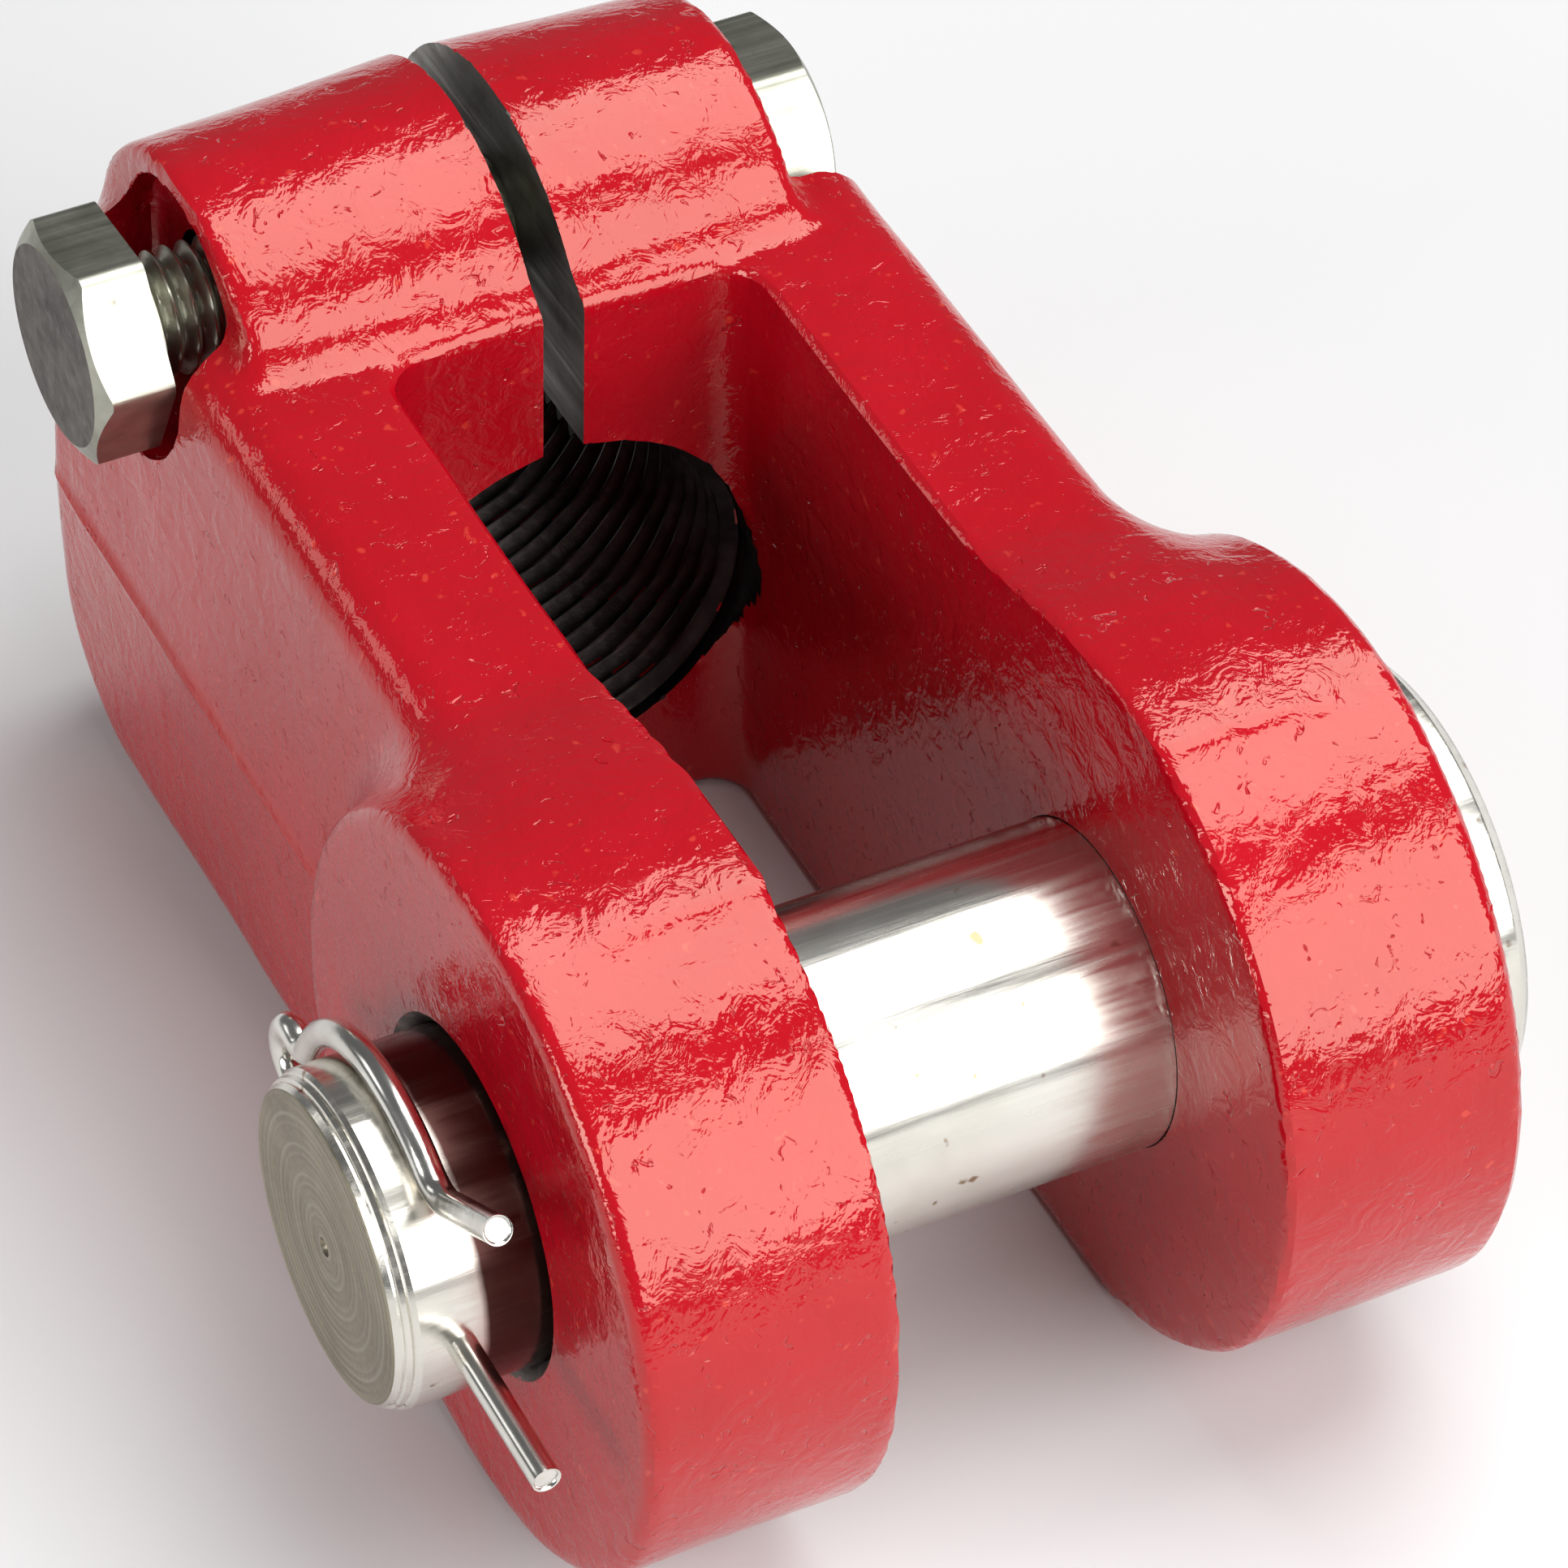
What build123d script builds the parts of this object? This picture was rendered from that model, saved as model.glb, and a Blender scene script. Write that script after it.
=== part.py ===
from build123d import *

import math
import os

# Rod-end clevis with a split, threaded hub.
#
# Frame: millimetres, +Z up. The origin is on the clevis pin's axis, midway between the two ears.
# +X points out of the open end of the fork, +Y points to the headed end of the pin, and the hub
# with its clamp screw is at -X.

# ---------------------------------------------------------------- driving dimensions
PIN_DIAMETER = 25.4
FORK_GAP = 30.4
FORK_WIDTH = 69.8
EAR_RADIUS = 28.8
THROAT_DEPTH = 58.0
HUB_LENGTH = 34.0
ROD_THREAD_DIAMETER = 31.75
ROD_THREAD_PITCH = 25.4 / 12
SCREW_DIAMETER = 10.0
SCREW_LENGTH = 55.0
HEX_ACROSS_FLATS = 17.0

# Length that any cutting tool runs past the casting, and how near counts as the same place.
OVERRUN = 20.0
NEAR = 0.01

# ---------------------------------------------------------------- casting
BASE_Z = -EAR_RADIUS
ARM_TOP_Z = 25.2
FLANK_Y = 29.4
FLANK_ROUNDING = 4.0
EAR_ROUNDING = 2.5
THROAT_ROUNDING = 3.5
HUB_FRONT_X = -THROAT_DEPTH
HUB_REAR_X = HUB_FRONT_X - HUB_LENGTH
HUB_HEEL_RADIUS = 14.0
HUB_CROWN_RADIUS = 12.0

# ---------------------------------------------------------------- clamp lug across the hub's top
SCREW_X = HUB_FRONT_X - HUB_LENGTH / 2
SCREW_Z = 21.4
LUG_TOP_Z = 34.4
LUG_HEAD_LENGTH = 24.2
LUG_NUT_LENGTH = 21.6
LUG_SHOULDER_Z = 22.5
LUG_ROOT_Z = 8.0
LUG_DRAFT_DEG = 4.0
LUG_CHAMFER = 1.0
HEAD_SEAT_Y = -21.8
NUT_SEAT_Y = 19.2
SEAT_RADIUS = 10.8
SCREW_HOLE_RADIUS = 5.5
SLOT_WIDTH = 3.4

# ---------------------------------------------------------------- holes
ROD_Z = -4.5
MINOR_DIAMETER_FACTOR = 1.0825
ROD_BORE_RADIUS = (ROD_THREAD_DIAMETER - MINOR_DIAMETER_FACTOR * ROD_THREAD_PITCH) / 2
ROD_BORE_BREAKOUT = 4.0
ROD_MOUTH_CLEARANCE = 0.1
ROD_MOUTH_RADIUS = ROD_THREAD_DIAMETER / 2 + ROD_MOUTH_CLEARANCE
PIN_CLEARANCE = 0.08
PIN_HOLE_RADIUS = PIN_DIAMETER / 2 + PIN_CLEARANCE
PIN_HOLE_CHAMFER = 1.0

# ---------------------------------------------------------------- clevis pin
PIN_RADIUS = PIN_DIAMETER / 2
PIN_END_Y = -46.2
PIN_END_CHAMFER = 1.8
PIN_HEAD_RADIUS = 18.5
PIN_HEAD_THICKNESS = 6.6
PIN_HEAD_CHAMFER = 1.0
PIN_HEAD_CLEARANCE = 0.2
PIN_HEAD_Y = FORK_WIDTH / 2 + PIN_HEAD_CLEARANCE

# ---------------------------------------------------------------- hairpin, bent in one plane
WIRE_RADIUS = 1.1
HAIRPIN_Y = -41.3
HAIRPIN_HOLE_RADIUS = 1.4
LEG_TIP_X = 26.2
LOOP_X = -15.6
LOOP_RADIUS = 2.4
NECK_RADIUS = 1.6
HUG_CLEARANCE = 0.5
HUG_RADIUS = PIN_RADIUS + WIRE_RADIUS + HUG_CLEARANCE
HUG_END_DEG = 60.0
FLARE_RADIUS = 3.5
FLARE_TURN_DEG = 66.0
FLARE_LENGTH = 9.0

# ---------------------------------------------------------------- clamp screw and nut
SCREW_RADIUS = SCREW_DIAMETER / 2
HEAD_HEIGHT = 6.4
HEAD_Y = -28.2
NUT_HEIGHT = 8.4
NUT_SEAT_CLEARANCE = 0.1
NUT_Y = NUT_SEAT_Y + NUT_SEAT_CLEARANCE
NUT_THREAD_CLEARANCE = 0.05
NUT_BORE_RADIUS = SCREW_RADIUS + NUT_THREAD_CLEARANCE
NUT_MOUTH_CHAMFER = 0.6
SCREW_END_CHAMFER = 1.0
HEX_TURN_DEG = 5.0
HEX_CHAMFER_DEG = 30.0
HEX_TOOL_MARGIN = 0.5
HEX_FACE_RADIUS = 8.1


def across_screw(y):
    """The plane across the clamp screw at y, facing +Y, with its local x along +X."""
    return Plane(origin=(SCREW_X, y, SCREW_Z), x_dir=(1, 0, 0), z_dir=(0, 1, 0))


def across_pin(y):
    """The plane across the clevis pin at y, facing +Y, with its local x along +X."""
    return Plane(origin=(0, y, 0), x_dir=(1, 0, 0), z_dir=(0, 1, 0))


def across_rod(x):
    """The plane across the rod at x, facing +X, with its local x along +Y."""
    return Plane(origin=(x, 0, ROD_Z), x_dir=(0, 1, 0), z_dir=(1, 0, 0))


# ---------------------------------------------------------------- clevis casting
with BuildPart() as clevis:
    # The hub and both arms in side view, rounded above and below at the hub's rear end.
    heel_top = (HUB_REAR_X, BASE_Z + HUB_HEEL_RADIUS)
    heel_front = (HUB_REAR_X + HUB_HEEL_RADIUS, BASE_Z)
    crown_foot = (HUB_REAR_X, ARM_TOP_Z - HUB_CROWN_RADIUS)
    crown_front = (HUB_REAR_X + HUB_CROWN_RADIUS, ARM_TOP_Z)
    with BuildSketch(Plane.XZ):
        with BuildLine():
            Polyline(heel_front, (0, BASE_Z), (0, ARM_TOP_Z), crown_front)
            RadiusArc(crown_front, crown_foot, -HUB_CROWN_RADIUS)
            Line(crown_foot, heel_top)
            RadiusArc(heel_top, heel_front, -HUB_HEEL_RADIUS)
        make_face()
    extrude(amount=FLANK_Y, both=True)
    flank_edges = clevis.faces().filter_by(Axis.Y).edges().filter_by(lambda e: e.center().X < -NEAR)
    fillet(flank_edges, FLANK_ROUNDING)

    # The ears, round about the pin and standing proud of the flanks.
    with BuildSketch(Plane.XZ):
        Circle(EAR_RADIUS)
    extrude(amount=FORK_WIDTH / 2, both=True)
    ear_rims = clevis.edges().filter_by(GeomType.CIRCLE)
    ear_rims = ear_rims.filter_by(lambda e: abs(abs(e.center().Y) - FORK_WIDTH / 2) < NEAR)
    fillet(ear_rims, EAR_ROUNDING)

    # The arched lug that the clamp screw passes through, drafted away from the slot both ways.
    for side, lug_length in ((-1, LUG_HEAD_LENGTH), (1, LUG_NUT_LENGTH)):
        # Facing +Y the local y points down, and facing -Y it points up.
        up = -side
        front_shoulder = (HUB_FRONT_X, up * LUG_SHOULDER_Z)
        rear_shoulder = (HUB_REAR_X, up * LUG_SHOULDER_Z)
        front_root = (HUB_FRONT_X, up * LUG_ROOT_Z)
        rear_root = (HUB_REAR_X, up * LUG_ROOT_Z)
        with BuildSketch(Plane(origin=(0, 0, 0), x_dir=(1, 0, 0), z_dir=(0, side, 0))):
            with BuildLine():
                Polyline(front_shoulder, front_root, rear_root, rear_shoulder)
                ThreePointArc(rear_shoulder, (SCREW_X, up * LUG_TOP_Z), front_shoulder)
            make_face()
        extrude(amount=lug_length, taper=LUG_DRAFT_DEG)
    lug_rims = clevis.edges().filter_by(lambda e: e.center().Z > ARM_TOP_Z + NEAR)
    lug_rims = lug_rims.filter_by(
        lambda e: abs(e.center().Y + LUG_HEAD_LENGTH) < NEAR or abs(e.center().Y - LUG_NUT_LENGTH) < NEAR
    )
    chamfer(lug_rims, LUG_CHAMFER)

    # The gap between the arms, with rounded corners at the throat.
    with BuildSketch(Plane.XY.offset(BASE_Z - OVERRUN)):
        with Locations(((HUB_FRONT_X + EAR_RADIUS + OVERRUN) / 2, 0)):
            Rectangle(EAR_RADIUS + OVERRUN - HUB_FRONT_X, FORK_GAP)
    extrude(amount=2 * (EAR_RADIUS + OVERRUN), mode=Mode.SUBTRACT)
    throat_corners = clevis.edges().filter_by(Axis.Z)
    throat_corners = throat_corners.filter_by(lambda e: abs(e.center().X - HUB_FRONT_X) < NEAR)
    throat_corners = throat_corners.filter_by(lambda e: abs(abs(e.center().Y) - FORK_GAP / 2) < NEAR)
    fillet(throat_corners, THROAT_ROUNDING)

    # The rod's threaded hole at its minor diameter, with mouths at the thread's full diameter.
    with BuildSketch(across_rod(HUB_REAR_X - OVERRUN)):
        Circle(ROD_BORE_RADIUS)
    extrude(amount=OVERRUN + HUB_LENGTH + ROD_BORE_BREAKOUT, mode=Mode.SUBTRACT)
    mouth_depth = ROD_MOUTH_RADIUS - ROD_BORE_RADIUS
    with BuildSketch(across_rod(HUB_REAR_X)):
        Circle(ROD_MOUTH_RADIUS)
    extrude(amount=mouth_depth, taper=45, mode=Mode.SUBTRACT)
    with BuildSketch(across_rod(HUB_FRONT_X)) as front_mouth:
        Circle(ROD_MOUTH_RADIUS)
    extrude(amount=-mouth_depth, taper=45, mode=Mode.SUBTRACT)
    extrude(front_mouth.sketch, amount=ROD_BORE_BREAKOUT, mode=Mode.SUBTRACT)

    # The saw cut that lets the hub close on the rod.
    with BuildSketch(Plane.XY):
        with Locations((HUB_REAR_X - OVERRUN + (HUB_LENGTH + 2 * OVERRUN) / 2, 0)):
            Rectangle(HUB_LENGTH + 2 * OVERRUN, SLOT_WIDTH)
    extrude(amount=LUG_TOP_Z + OVERRUN, mode=Mode.SUBTRACT)

    # The pin's hole through both ears, chamfered outside.
    with BuildSketch(across_pin(-FORK_WIDTH / 2 - OVERRUN)):
        Circle(PIN_HOLE_RADIUS)
    extrude(amount=FORK_WIDTH + 2 * OVERRUN, mode=Mode.SUBTRACT)
    for side in (-1, 1):
        with BuildSketch(across_pin(side * FORK_WIDTH / 2)):
            Circle(PIN_HOLE_RADIUS + PIN_HOLE_CHAMFER)
        extrude(amount=-side * PIN_HOLE_CHAMFER, taper=45, mode=Mode.SUBTRACT)

    # The clamp screw's clearance hole, and the round seats for its head and nut.
    with BuildSketch(across_screw(-FORK_WIDTH)):
        Circle(SCREW_HOLE_RADIUS)
    extrude(amount=2 * FORK_WIDTH, mode=Mode.SUBTRACT)
    for side, seat_y in ((-1, HEAD_SEAT_Y), (1, NUT_SEAT_Y)):
        with BuildSketch(across_screw(seat_y)):
            Circle(SEAT_RADIUS)
        extrude(amount=side * OVERRUN, mode=Mode.SUBTRACT)

# ---------------------------------------------------------------- clevis pin
with BuildPart() as clevis_pin:
    with BuildSketch(across_pin(PIN_END_Y)):
        Circle(PIN_RADIUS)
    extrude(amount=PIN_HEAD_Y - PIN_END_Y)
    chamfer(clevis_pin.faces().sort_by(Axis.Y)[0].edges(), PIN_END_CHAMFER)
    with BuildSketch(across_pin(PIN_HEAD_Y)):
        Circle(PIN_HEAD_RADIUS)
    extrude(amount=PIN_HEAD_THICKNESS)
    chamfer(clevis_pin.faces().sort_by(Axis.Y)[-1].edges(), PIN_HEAD_CHAMFER)
    with BuildSketch(Plane(origin=(-PIN_DIAMETER, HAIRPIN_Y, 0), z_dir=(1, 0, 0))):
        Circle(HAIRPIN_HOLE_RADIUS)
    extrude(amount=2 * PIN_DIAMETER, mode=Mode.SUBTRACT)

# ---------------------------------------------------------------- hairpin
# Its outer leg is a loop, a neck and a hug round the pin. The neck's arc touches the loop's circle
# and the hug's circle from outside, so its centre is where two larger circles meet.
loop_distance = math.hypot(LOOP_X, LOOP_RADIUS)
neck_from_pin = HUG_RADIUS + NECK_RADIUS
neck_from_loop = LOOP_RADIUS + NECK_RADIUS
neck_along = (neck_from_pin**2 - neck_from_loop**2 + loop_distance**2) / (2 * loop_distance)
neck_bearing = math.atan2(LOOP_RADIUS, LOOP_X) - math.acos(neck_along / neck_from_pin)
neck_x = neck_from_pin * math.cos(neck_bearing)
neck_z = neck_from_pin * math.sin(neck_bearing)
loop_end_deg = math.degrees(math.atan2(neck_z - LOOP_RADIUS, neck_x - LOOP_X))
hug_start_deg = math.degrees(neck_bearing)
hug_end = math.radians(HUG_END_DEG)
flare_centre_radius = HUG_RADIUS + FLARE_RADIUS
flare_centre = (flare_centre_radius * math.cos(hug_end), flare_centre_radius * math.sin(hug_end))

with BuildPart() as hairpin:
    with BuildLine(Plane.XZ.offset(-HAIRPIN_Y)) as wire_path:
        Line((LEG_TIP_X, 0), (LOOP_X, 0))
        CenterArc((LOOP_X, LOOP_RADIUS), LOOP_RADIUS, -90, loop_end_deg - 270)
        neck_start_deg = loop_end_deg + 180
        neck_turn_deg = hug_start_deg + 180 - neck_start_deg
        CenterArc((neck_x, neck_z), NECK_RADIUS, neck_start_deg, neck_turn_deg)
        CenterArc((0, 0), HUG_RADIUS, hug_start_deg, HUG_END_DEG - hug_start_deg)
        flare = CenterArc(flare_centre, FLARE_RADIUS, HUG_END_DEG + 180, FLARE_TURN_DEG)
        Line(flare @ 1, flare @ 1 + (flare % 1) * FLARE_LENGTH)
    with BuildSketch(Plane(origin=(LEG_TIP_X, HAIRPIN_Y, 0), z_dir=(-1, 0, 0))):
        Circle(WIRE_RADIUS)
    sweep(path=wire_path.wires()[0], transition=Transition.ROUND)


def hex_blank(y, height, chamfer_low, chamfer_high):
    """A hexagon along +Y from y, with the corners turned off at either end."""
    corner_radius = HEX_ACROSS_FLATS / math.sqrt(3)
    tool_radius = corner_radius + HEX_TOOL_MARGIN
    cut_height = (tool_radius - HEX_FACE_RADIUS) * math.tan(math.radians(HEX_CHAMFER_DEG))
    low_corner = [(tool_radius, 0)]
    if chamfer_low:
        low_corner = [(HEX_FACE_RADIUS, 0), (tool_radius, cut_height)]
    high_corner = [(tool_radius, height)]
    if chamfer_high:
        high_corner = [(tool_radius, height - cut_height), (HEX_FACE_RADIUS, height)]
    with BuildPart() as blank:
        with BuildSketch(across_screw(y)):
            RegularPolygon(corner_radius, 6, rotation=-HEX_TURN_DEG)
        extrude(amount=height)
        with BuildSketch(Plane(origin=(SCREW_X, y, SCREW_Z), x_dir=(1, 0, 0), z_dir=(0, 0, 1))):
            with BuildLine():
                Polyline((0, 0), *low_corner, *high_corner, (0, height), close=True)
            make_face()
        revolve(axis=Axis((SCREW_X, y, SCREW_Z), (0, 1, 0)), mode=Mode.INTERSECT)
    return blank.part


# ---------------------------------------------------------------- clamp screw
screw_head = hex_blank(HEAD_Y - HEAD_HEIGHT, HEAD_HEIGHT, True, False)
with BuildPart() as clamp_screw:
    add(screw_head)
    with BuildSketch(across_screw(HEAD_Y)):
        Circle(SCREW_RADIUS)
    extrude(amount=SCREW_LENGTH)
    chamfer(clamp_screw.faces().sort_by(Axis.Y)[-1].edges(), SCREW_END_CHAMFER)

# ---------------------------------------------------------------- clamp nut
nut_blank = hex_blank(NUT_Y, NUT_HEIGHT, True, True)
with BuildPart() as clamp_nut:
    add(nut_blank)
    with BuildSketch(across_screw(NUT_Y)):
        Circle(NUT_BORE_RADIUS)
    extrude(amount=NUT_HEIGHT, mode=Mode.SUBTRACT)
    mouths = clamp_nut.edges().filter_by(GeomType.CIRCLE)
    mouths = mouths.filter_by(lambda e: abs(e.radius - NUT_BORE_RADIUS) < NEAR)
    chamfer(mouths, NUT_MOUTH_CHAMFER)

# ---------------------------------------------------------------- labels and files
clevis.part.label = "clevis"
clevis_pin.part.label = "clevis_pin"
hairpin.part.label = "hairpin"
clamp_screw.part.label = "clamp_screw"
clamp_nut.part.label = "clamp_nut"

os.makedirs("parts", exist_ok=True)
export_step(clevis.part, "parts/clevis.step")
export_step(clevis_pin.part, "parts/clevis_pin.step")
export_step(hairpin.part, "parts/hairpin.step")
export_step(clamp_screw.part, "parts/clamp_screw.step")
export_step(clamp_nut.part, "parts/clamp_nut.step")
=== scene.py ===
import math

import bpy
import numpy as np
from mathutils import Matrix, Quaternion, Vector


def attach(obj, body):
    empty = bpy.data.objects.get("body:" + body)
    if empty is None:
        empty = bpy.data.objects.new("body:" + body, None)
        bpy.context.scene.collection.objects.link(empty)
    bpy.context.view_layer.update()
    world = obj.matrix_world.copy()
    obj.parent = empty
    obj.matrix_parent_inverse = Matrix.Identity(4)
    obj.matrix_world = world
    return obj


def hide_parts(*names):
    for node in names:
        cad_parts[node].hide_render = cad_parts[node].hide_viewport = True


# The look of a cast rod-end clevis with its pin, hairpin, clamp screw and nut. Shapes are worked
# out in millimetres in the part's own frame and written to the meshes in metres.
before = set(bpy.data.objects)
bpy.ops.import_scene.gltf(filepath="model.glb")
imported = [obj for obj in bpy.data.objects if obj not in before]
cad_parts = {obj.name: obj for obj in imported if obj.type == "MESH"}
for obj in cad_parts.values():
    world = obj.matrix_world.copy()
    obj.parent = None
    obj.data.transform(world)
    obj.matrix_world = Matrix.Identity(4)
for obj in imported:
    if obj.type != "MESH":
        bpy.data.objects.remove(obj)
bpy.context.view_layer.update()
rng = np.random.default_rng(11)
MM = 0.001

# ---------------------------------------------------------------- dimensions, as in the CAD part
PIN_R = 12.7
GAP_HALF = 15.2
EAR_HALF = 34.9
EAR_R = 28.8
BASE_Z = -28.8
TOP_Z = 25.2
THROAT_X = -58.0
REAR_X = -92.0
THROAT_R = 3.5
HEEL_R = 14.0
CROWN_R = 12.0
FLANK_TOP = 28.7
FLANK_MID = 30.1
FLANK_LOW = 29.3
PARTING_Z = -4.0
SCREW_X = -75.0
SCREW_Z = 21.4
LUG_HEAD_END = 24.2
LUG_NUT_END = 21.6
LUG_X_HALF = 17.0
LUG_R = 18.1
LUG_CENTRE_Z = 16.3
HEAD_SEAT_Y = 21.8
NUT_SEAT_Y = 19.2
SEAT_R = 10.5
SCREW_HOLE_R = 5.5
SLOT_HALF = 1.7
ROD_Z = -4.5
ROD_MINOR_R = 14.73
ROD_MAJOR_R = 15.95
ROD_PITCH = 25.4 / 12
RUN_OUT = 0.2
PIN_HOLE_R = 12.78
FLANK_ROUNDING = 4.0
EAR_ROUNDING = 1.4
EAR_FILLET = 5.5
LUG_ROUNDING = 1.1
LUG_FILLET = 2.2
LUG_FOOT_Z = 2.0
GAP_ROUNDING = 0.9
SAWN_ROUNDING = 0.25
SEAT_EDGE = 0.3
BORE_REACH = 12.0
SLOT_REACH = 20.0
SLOT_FOOT_Z = ROD_Z + 6.0
RIDGE_HEIGHT = 0.42
RIDGE_FRONT_X = -20.0
RIDGE_REAR_X = REAR_X + 3.0
RIDGE_RUN_OUT = 6.0


# ---------------------------------------------------------------- distance fields
def round_corner(a, b, r):
    """Distance to a quadrant a < 0, b < 0 whose corner is rounded with radius r."""
    p, q = a + r, b + r
    return np.minimum(np.maximum(p, q), 0) + np.hypot(np.maximum(p, 0), np.maximum(q, 0)) - r


def both(a, b, r):
    """The part that lies in a and in b, its edge rounded with radius r."""
    return np.minimum(-r, np.maximum(a, b)) + np.hypot(np.maximum(a + r, 0), np.maximum(b + r, 0))


def either(a, b, r):
    """a and b together, with a fillet of radius r where they meet."""
    return np.maximum(r, np.minimum(a, b)) - np.hypot(np.maximum(r - a, 0), np.maximum(r - b, 0))


def casting(p):
    x, y, z = p[..., 0], p[..., 1], p[..., 2]
    ay = np.abs(y)
    # The hub and arms: a flat bar with drafted flanks, rounded at its rear end.
    side = np.maximum(round_corner(REAR_X - x, z - TOP_Z, CROWN_R), round_corner(REAR_X - x, BASE_Z - z, HEEL_R))
    upper = FLANK_MID + (FLANK_TOP - FLANK_MID) * (z - PARTING_Z) / (TOP_Z - PARTING_Z)
    lower = FLANK_MID + (FLANK_LOW - FLANK_MID) * (PARTING_Z - z) / (PARTING_Z - BASE_Z)
    flank = ay - np.where(z > PARTING_Z, upper, lower)
    bar = both(side, flank, FLANK_ROUNDING)
    bar = np.maximum(bar, x - 3.0)
    # The parting line left by the two halves of the mould.
    height = RIDGE_HEIGHT * np.clip((x - RIDGE_REAR_X) / RIDGE_RUN_OUT, 0, 1)
    height = height * np.clip((RIDGE_FRONT_X - x) / RIDGE_RUN_OUT, 0, 1)
    ridge = np.hypot(z - PARTING_Z, flank * 1.6) - height
    ridge = np.maximum(ridge, np.maximum(x - RIDGE_FRONT_X, RIDGE_REAR_X - x))
    bar = either(bar, ridge, 0.5)
    ears = both(np.hypot(x, z) - EAR_R, ay - EAR_HALF, EAR_ROUNDING)
    solid = either(bar, ears, EAR_FILLET)
    # The arched lug for the clamp screw.
    arch = np.hypot(x - SCREW_X, z - LUG_CENTRE_Z) - LUG_R + 0.045 * ay
    arch = both(arch, np.abs(x - SCREW_X) - LUG_X_HALF + 0.04 * ay, 1.0)
    lug = both(arch, ay - np.where(y < 0, LUG_HEAD_END, LUG_NUT_END), LUG_ROUNDING)
    lug = np.maximum(lug, LUG_FOOT_Z - z)
    solid = either(solid, lug, LUG_FILLET)
    solid = np.maximum(solid, np.maximum(BASE_Z - z, REAR_X + 0.1 - x))
    # The gap between the arms.
    gap = round_corner(THROAT_X - x, ay - GAP_HALF, THROAT_R)
    solid = both(solid, -gap, GAP_ROUNDING)
    # Machined features.
    rod = np.hypot(y, z - ROD_Z)
    bore = rod - ROD_MAJOR_R + RUN_OUT * np.maximum(x - THROAT_X, 0)
    bore = np.maximum(bore, x - THROAT_X - BORE_REACH)
    solid = both(solid, -bore, SAWN_ROUNDING)
    slot = np.maximum(ay - SLOT_HALF, SLOT_FOOT_Z - z)
    slot = np.maximum(slot, x - THROAT_X - SLOT_REACH)
    solid = both(solid, -slot, SAWN_ROUNDING)
    pin_hole = np.hypot(x, z) - PIN_HOLE_R - np.maximum(ay - EAR_HALF + 1.0, 0)
    solid = np.maximum(solid, -pin_hole)
    screw = np.hypot(x - SCREW_X, z - SCREW_Z)
    seat = both(screw - SEAT_R, np.where(y < 0, HEAD_SEAT_Y, NUT_SEAT_Y) - ay, 0.8)
    solid = both(solid, -seat, SEAT_EDGE)
    return np.maximum(solid, SCREW_HOLE_R - screw)


def gradient(field, p, step=0.02):
    g = np.empty_like(p)
    for k in range(3):
        d = np.zeros(3)
        d[k] = step
        g[:, k] = (field(p + d) - field(p - d)) / (2 * step)
    return g


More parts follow.
